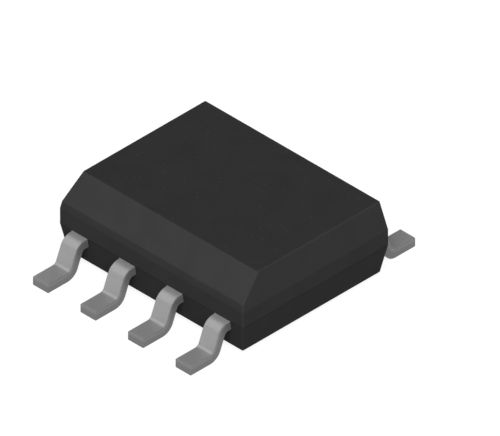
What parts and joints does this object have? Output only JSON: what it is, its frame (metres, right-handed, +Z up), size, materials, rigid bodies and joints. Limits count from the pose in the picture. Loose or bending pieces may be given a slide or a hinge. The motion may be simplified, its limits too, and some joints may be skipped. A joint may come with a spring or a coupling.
{
  "type": "small-outline integrated circuit package",
  "caption": "Surface-mount chip: black moulded body with drafted sides and a bevel along one long side, and a row of gull-wing leads on each long side.",
  "frame": {"origin": "centre of the seating plane, on which the soles of the eight feet stand", "axes": "+X along the body, from lead 1 towards lead 4; +Y across the lead rows, away from the bevelled side; +Z up, away from the board"},
  "size_m": [0.005, 0.006, 0.0017],
  "materials": {
    "mould_compound": "fine spark-eroded mould texture",
    "tin_plated_lead": "matte tin plate on copper alloy",
    "bare_copper": "rolled copper alloy",
    "silver_epoxy": "cured adhesive",
    "silicon": "polished",
    "gold_wire": "drawn"
  },
  "bodies": {
    "root": {"mould_body": "mould_compound", "die_paddle": "bare_copper", "die_attach": "silver_epoxy", "die": "silicon", "lead_1": "tin_plated_lead", "lead_2": "tin_plated_lead", "lead_3": "tin_plated_lead", "lead_4": "tin_plated_lead", "lead_5": "tin_plated_lead", "lead_6": "tin_plated_lead", "lead_7": "tin_plated_lead", "lead_8": "tin_plated_lead", "bond_wire_1": "gold_wire", "bond_wire_2": "gold_wire", "bond_wire_3": "gold_wire", "bond_wire_4": "gold_wire", "bond_wire_5": "gold_wire", "bond_wire_6": "gold_wire", "bond_wire_7": "gold_wire", "bond_wire_8": "gold_wire"}
  },
  "joints": []
}
